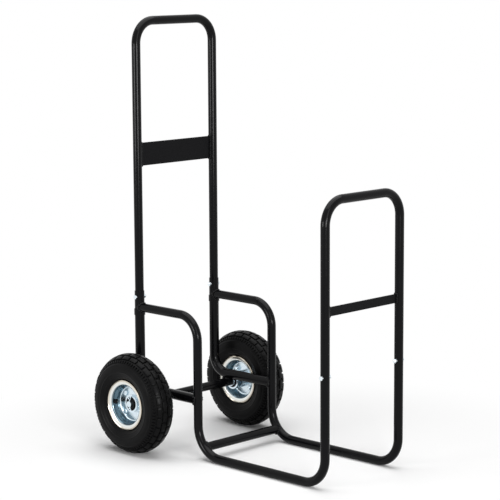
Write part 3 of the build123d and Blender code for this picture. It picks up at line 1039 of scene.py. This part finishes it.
@dataclass
class Tyre:
    """Block-tread tyre of one wheel, turned about its own centre and then put in place."""

    hand: Hand
    tree: Tree
    shoulder_width: float = 62 * MM
    shoulder_drop: float = 14 * MM
    widest_share: float = 0.724
    bead_half_width: float = 26.9 * MM
    bead_radius: float = 63.3 * MM
    bead_foot: float = 50.9 * MM
    bead_width: float = 6.5 * MM
    sidewall: float = 5.5 * MM
    groove_depth: float = 3.4 * MM
    groove_width: float = 3.6 * MM
    cross_groove: float = 4.5 * MM
    row_pitch: float = 15.5 * MM
    rows: int = 4
    block_count: int = 28
    notches_per_block: int = 3
    notch_width: float = 3.2 * MM
    lug_width: float = 9.0 * MM
    lug_height: float = 5.0 * MM
    block_root: float = 1.4 * MM
    block_inset: float = 0.7 * MM
    edge_round: float = 0.6 * MM
    ridge_height: float = 0.7 * MM
    ridge_width: float = 1.1 * MM
    ridge_places: tuple[float, ...] = (0.57, 0.66, 0.81)
    cavity_share: float = 0.72
    tread_gauge: float = 7.48 * MM
    edge_degrees: float = 50.0
    edge_segments: int = 2
    crown_steps: int = 10
    wall_steps: int = 64
    cavity_steps: int = 12
    turn_steps: int = 168
    centre: Vector = field(init=False)
    half_width: float = field(init=False)
    radius: float = field(init=False)
    crown_radius: float = field(init=False)
    crown_centre: float = field(init=False)

    def __post_init__(self) -> None:
        """Read the tyre's place, radius and width from its node."""
        low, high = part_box(f"{self.hand.label}_tyre")
        self.centre = (low + high) / 2
        self.half_width = (high.x - low.x) / 2
        self.radius = (high.y - low.y) / 2
        half_shoulder = self.shoulder_width / 2
        self.crown_radius = (half_shoulder**2 + self.shoulder_drop**2) / (2 * self.shoulder_drop)
        self.crown_centre = self.radius - self.crown_radius

    def ridge(self, radius: float) -> float:
        """How far the mould rings lift the sidewall at a distance from the axle."""
        offsets = [(radius - place * self.radius) / self.ridge_width for place in self.ridge_places]
        return sum(self.ridge_height * math.exp(-(offset**2)) for offset in offsets)

    def half_outline(self) -> list[Point]:
        """Draw the outer half section of the casing.

        Returns:
            Points from the middle of the tread to the heel of the bead.
        """
        base = self.crown_radius - self.groove_depth
        edge_turn = (self.rows * self.row_pitch + self.groove_width) / 2 / self.crown_radius
        turns = [edge_turn * step / self.crown_steps for step in range(self.crown_steps + 1)]
        crown = [(base * math.sin(turn), self.crown_centre + base * math.cos(turn)) for turn in turns]
        shoulder = (self.shoulder_width / 2, self.radius - self.shoulder_drop)
        widest = (self.half_width, self.widest_share * self.radius)
        bead = (self.bead_half_width, self.bead_radius)
        lug_end = crown[-1][1] - self.lug_width * math.sin(edge_turn)
        arc = arc_points(shoulder, widest, bead, self.wall_steps)
        wall = [(x + self.ridge(r), r) for x, r in arc if r < lug_end]
        return crown + wall + [bead, (self.bead_half_width, self.bead_foot)]

    def outline(self) -> list[Point]:
        """Draw the whole section of the casing.

        Returns:
            Points of a closed loop, which runs towards +X over the tread.
        """
        half = self.half_outline()
        outer = [(-x, r) for x, r in reversed(half[1:])] + half
        widest = self.widest_share * self.radius
        toe = (self.bead_half_width - self.bead_width, self.bead_radius)
        wall = (self.half_width - self.sidewall, widest)
        shoulder_level = self.crown_centre + self.cavity_share * self.crown_radius
        shoulder = (self.shoulder_width / 2 - 2 * self.sidewall, shoulder_level)
        top = (0.0, self.radius - self.tread_gauge)
        far_toe, far_wall, far_shoulder = ((-x, r) for x, r in (toe, wall, shoulder))
        inner = arc_points(toe, wall, shoulder, self.cavity_steps)
        inner += arc_points(shoulder, top, far_shoulder, self.cavity_steps)
        inner += arc_points(far_shoulder, far_wall, far_toe, self.cavity_steps)
        return outer + [(toe[0], self.bead_foot)] + inner + [far_toe, (far_toe[0], self.bead_foot)]

    def ring(self, turn: float, phase: float, count: int, gap: float, size: Point) -> dict[str, object]:
        """Inputs of one ring of blocks on the crown's arc.

        Args:
            turn: angle of the ring along the arc, from the middle of the tread.
            phase: angle of its first block round the axle.
            count: number of blocks.
            gap: groove between two blocks.
            size: width and height of a block.

        Returns:
            Input name to its value.
        """
        radius = self.crown_centre + self.crown_radius * math.cos(turn)
        return {
            "Size": (size[0], math.tau * radius / count - gap, size[1]),
            "Count": count,
            "Radius": radius,
            "Offset": self.crown_radius * math.sin(turn),
            "Tilt": turn,
            "Phase": phase,
            "Inset": self.block_inset,
            "Finish": TYRE_RUBBER.material(),
        }

    def tread(self) -> list[dict[str, object]]:
        """Work out every ring of blocks.

        Returns:
            Inputs of the staggered rows of the tread, then of the small lugs of both shoulders.
        """
        rings = []
        block = (self.row_pitch - self.groove_width, self.groove_depth + self.block_root)
        for number in range(self.rows):
            turn = (number - (self.rows - 1) / 2) * self.row_pitch / self.crown_radius
            phase = math.pi / self.block_count * (number % 2)
            rings.append(self.ring(turn, phase, self.block_count, self.cross_groove, block))
        lug = (self.lug_width, self.lug_height)
        count = self.notches_per_block * self.block_count
        turn = (self.rows * self.row_pitch + self.groove_width + self.lug_width) / 2 / self.crown_radius
        for way in (-1, 1):
            rings.append(self.ring(way * turn, math.pi / count, count, self.notch_width, lug))
        return rings

    def build(self) -> None:
        """Make the casing and set its tread on it."""
        piece = lathe(f"{self.hand.label}_block_tyre", self.outline(), self.turn_steps, closed=True)
        for ring in self.tread():
            apply_tree(piece, self.tree, ring)
        bevel = piece.modifiers.new("rounded_edges", "BEVEL")
        bevel.width = self.edge_round
        bevel.segments = self.edge_segments
        bevel.angle_limit = math.radians(self.edge_degrees)
        place = Matrix.Translation(self.centre)
        node = f"{self.hand.label}_tyre"
        settle(piece, Slot.TYRE_RUBBER, self.hand.wheel_body, place, replaces=[node])


@dataclass
class ValveCap:
    """Ribbed dust cap on a valve stem, made along +X and turned onto the stem."""

    hand: Hand
    tree: Tree
    diameter: float = 8.8 * MM
    length: float = 11.0 * MM
    tip_diameter: float = 6.4 * MM
    tip_length: float = 2.6 * MM
    rib_count: int = 16
    rib_width: float = 0.8 * MM
    rib_height: float = 0.9 * MM
    tilt_degrees: float = 45.0
    turn_steps: int = 48
    # Shares of the sizes above
    mouth_share: float = 0.8
    crown_share: float = 0.7
    tip_round: float = 0.25
    rib_reach: float = 0.86
    rib_stand: float = 0.4
    rib_taper: float = 0.2

    def build(self) -> None:
        """Make the cap with its ribs and put it over the node's place."""
        node = f"{self.hand.label}_valve_cap"
        centre = middle(node)
        half = self.length / 2
        skirt_end = half - self.tip_length
        outline = [
            (-half, self.mouth_share * self.diameter / 2),
            (-half, self.diameter / 2),
            (skirt_end, self.diameter / 2),
            (half - self.tip_round * self.tip_length, self.tip_diameter / 2),
            (half, self.crown_share * self.tip_diameter / 2),
        ]
        piece = lathe(f"{self.hand.label}_ribbed_valve_cap", outline, self.turn_steps, closed=False)
        ribs = {
            "Size": (self.rib_reach * (self.length - self.tip_length), self.rib_width, self.rib_height),
            "Count": self.rib_count,
            "Radius": self.diameter / 2 + self.rib_stand * self.rib_height,
            "Offset": (skirt_end - half) / 2,
            "Inset": self.rib_taper * self.rib_width,
            "Finish": CAP_PLASTIC.material(),
        }
        apply_tree(piece, self.tree, ribs)
        # The stem leans out of the rim and back towards the axle
        lean = math.radians(self.tilt_degrees)
        direction = Vector((self.hand.value * math.cos(lean), -math.sin(lean), 0))
        turn = Vector((1, 0, 0)).rotation_difference(direction).to_matrix().to_4x4()
        place = Matrix.Translation(centre) @ turn
        settle(piece, Slot.CAP_PLASTIC, self.hand.wheel_body, place, replaces=[node])


@dataclass
class Wheel:
    """One wheel: its tyre, the fasteners of its rim and its valve cap."""

    hand: Hand
    block_tree: Tree
    bolt_tree: Tree
    bolt_circle: float = 68 * MM
    bolt_count: int = 4
    bolt_diameter: float = 8 * MM
    bolt_flats: float = 13 * MM
    pitch: float = 1.25 * MM
    rim_gauge: float = 2 * MM

    def rim_fasteners(self) -> None:
        """Make the bolts and nuts that hold the rim halves together."""
        label = f"{self.hand.label}_rim"
        way = self.hand.value
        bolt_low, bolt_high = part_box(f"{label}_bolts")
        nut_low, nut_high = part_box(f"{label}_nuts")
        centre = (bolt_low + bolt_high) / 2
        # The rim halves meet at the inner side of the outer one
        centre.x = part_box(f"{self.hand.label}_outer_rim")[0 if way > 0 else 1].x
        turns = [math.tau * (number + 0.5) / self.bolt_count for number in range(self.bolt_count)]
        around = [Vector((0, math.cos(turn), math.sin(turn))) for turn in turns]
        BoltedJoint(
            label,
            self.hand.wheel_body,
            self.bolt_tree,
            flats=self.bolt_flats,
            diameter=self.bolt_diameter,
            head=abs((bolt_high if way > 0 else bolt_low).x - centre.x) - self.rim_gauge,
            nut_height=nut_high.x - nut_low.x,
            half_grip=self.rim_gauge,
            middles=[centre + self.bolt_circle / 2 * direction for direction in around],
            ways=[way] * self.bolt_count,
            pitch=self.pitch,
        ).build()

    def build(self) -> None:
        """Make every piece of the wheel that the nodes don't already show."""
        Tyre(self.hand, self.block_tree).build()
        self.rim_fasteners()
        ValveCap(self.hand, self.block_tree).build()


@dataclass
class Softbox:
    """One soft studio lamp that faces the cart."""

    name: str
    place: Vector
    target: Vector
    width: float
    height: float
    radiance: float

    def build(self) -> None:
        """Make the lamp and turn it to its target."""
        light = bpy.data.lights.new(self.name, "AREA")
        light.shape = "RECTANGLE"
        light.size = self.width
        light.size_y = self.height
        # The power of an even lamp is its area times pi times what it sends out to the front
        light.energy = self.radiance * math.pi * self.width * self.height
        lamp = bpy.data.objects.new(self.name, light)
        lamp.location = self.place
        lamp.rotation_mode = "QUATERNION"
        lamp.rotation_quaternion = (self.target - self.place).to_track_quat("-Z", "Y")
        lamp.visible_camera = False
        bpy.context.scene.collection.objects.link(lamp)
        log.info("lit %s", self.name)


@dataclass(frozen=True)
class Strip:
    """One upright strip light, with its angle to the camera's right and its ends above the floor."""

    name: str
    aside_degrees: float
    bottom: float
    top: float
    radiance: float


@dataclass
class Studio:
    """Pale floor, soft light and the camera at the photograph's angle."""

    floor_radius: float = 30.0
    floor_sides: int = 64
    floor_colour: str = "#fdfdfd"
    fade_start: float = 0.35
    fade_end: float = 0.95
    sky: float = 0.1
    top_level: float = 3.2
    top_size: float = 3.6
    top_radiance: float = 2.5
    strip_distance: float = 3.2
    strip_width: float = 1.2
    strips: tuple[Strip, ...] = (
        Strip("right_strip", 23.0, 0.42, 1.1, 15.0),
        Strip("right_high_strip", 23.0, 1.1, 3.2, 2.4),
        Strip("left_strip", -50.0, 0.42, 1.1, 12.7),
    )
    heading_degrees: float = 45.494
    pitch_degrees: float = 8.904
    roll_degrees: float = -0.315
    focal_pixels: float = 1932.7
    sensor_mm: float = 36.0
    camera_place: tuple[float, float, float] = (-3.3742, -3.2977, 1.2580)

    def seen(self, tree: Tree) -> Socket:
        """Mask of rays that look straight at a surface or at its reflection.

        Args:
            tree: node tree that gets the nodes.

        Returns:
            Socket that is 1 for camera, glossy and transmission rays.
        """
        ray = add_node(tree, "ShaderNodeLightPath").outputs
        mask = ray["Is Camera Ray"]
        for label in ("Is Glossy Ray", "Is Transmission Ray"):
            mask = add_node(tree, MATH, {0: mask, 1: ray[label]}, operation="MAXIMUM").outputs[0]
        return mask

    def floor(self) -> None:
        """Make the floor, which takes the cart's shadow and fades to white further out."""
        turns = [math.tau * step / self.floor_sides for step in range(self.floor_sides)]
        corners = [self.floor_radius * Vector((math.cos(turn), math.sin(turn), 0)) for turn in turns]
        piece = new_piece("studio_floor", corners, [], [range(self.floor_sides)])
        material = bpy.data.materials.new("matt_studio_floor")
        material.use_nodes = True
        tree = material.node_tree
        tree.nodes.clear()
        place = add_node(tree, "ShaderNodeTexCoord").outputs["Object"]
        away = add_node(tree, VECTOR_MATH, {0: place}, operation="LENGTH").outputs["Value"]
        reach = {"Value": away, "From Min": self.fade_start, "From Max": self.fade_end}
        fade = add_node(tree, MAP_RANGE, reach, interpolation_type="SMOOTHSTEP").outputs["Result"]
        share = add_node(tree, MATH, {0: fade, 1: self.seen(tree)}, operation="MULTIPLY").outputs[0]
        matt = add_node(tree, "ShaderNodeBsdfDiffuse", {"Color": linear(self.floor_colour)}).outputs[0]
        white = add_node(tree, "ShaderNodeEmission", {"Color": WHITE, "Strength": 1.0}).outputs[0]
        mixed = add_node(tree, "ShaderNodeMixShader", {0: share, 1: matt, 2: white})
        add_node(tree, "ShaderNodeOutputMaterial", {"Surface": mixed.outputs[0]})
        # The glow is only for what looks at the floor, so no lamp sampling goes to it
        material.cycles.emission_sampling = "NONE"
        piece.data.materials.append(material)

    def world(self) -> None:
        """Even pale light from all round, white where the camera or a reflection looks at it."""
        world = bpy.data.worlds.new("studio_world")
        bpy.context.scene.world = world
        world.use_nodes = True
        tree = world.node_tree
        strength = add_node(tree, MAP_RANGE, {"Value": self.seen(tree), "To Min": self.sky, "To Max": 1.0})
        backdrop = tree.nodes["Background"]
        tree.links.new(strength.outputs["Result"], backdrop.inputs["Strength"])
        backdrop.inputs["Color"].default_value = WHITE

    def lamps(self) -> None:
        """Large top light, and strips on both sides of the camera that draw streaks on the tubes."""
        top = Vector((0, 0, self.top_level))
        Softbox("top_softbox", top, Vector(), self.top_size, self.top_size, self.top_radiance).build()
        target = middle("handle_frame")
        for strip in self.strips:
            bearing = math.radians(self.heading_degrees - strip.aside_degrees)
            away = Vector((math.sin(bearing), math.cos(bearing), 0))
            target.z = (strip.bottom + strip.top) / 2
            place = target - self.strip_distance * away
            height = strip.top - strip.bottom
            Softbox(strip.name, place, target.copy(), self.strip_width, height, strip.radiance).build()

    def camera(self) -> None:
        """Make the camera at the place and angle worked out from the photograph."""
        heading, pitch, roll = (
            math.radians(angle) for angle in (self.heading_degrees, self.pitch_degrees, self.roll_degrees)
        )
        forward = Vector(
            (math.sin(heading) * math.cos(pitch), math.cos(heading) * math.cos(pitch), -math.sin(pitch))
        )
        right = Vector((math.cos(heading), -math.sin(heading), 0))
        up = right.cross(forward)
        turned_right = right * math.cos(roll) + up * math.sin(roll)
        turned_up = up * math.cos(roll) - right * math.sin(roll)
        data = bpy.data.cameras.new("photo_camera")
        data.sensor_width = self.sensor_mm
        data.lens = self.focal_pixels / PHOTO_PIXELS * self.sensor_mm
        camera = bpy.data.objects.new("photo_camera", data)
        turn = Matrix((turned_right, turned_up, -forward)).transposed().to_4x4()
        camera.matrix_world = Matrix.Translation(self.camera_place) @ turn
        bpy.context.scene.collection.objects.link(camera)
        bpy.context.scene.camera = camera

    def build(self) -> None:
        """Make the floor, the light and the camera."""
        self.floor()
        self.world()
        self.lamps()
        self.camera()
        bpy.context.scene.view_settings.view_transform = "Standard"


def main() -> None:
    """Dress the frame, add the pieces that it lacks and set up the studio."""
    logging.basicConfig(level=logging.INFO, format="%(name)s: %(message)s")
    dress_nodes()
    sizes = FrameSizes()
    WeldSeams(sizes).build()
    bolt_tree = fastener_tree()
    block_tree = block_ring_tree()
    FrameBolts(sizes, bolt_tree).build()
    for hand in Hand:
        Wheel(hand, block_tree, bolt_tree).build()
    Studio().build()


if __name__ == "__main__":
    main()
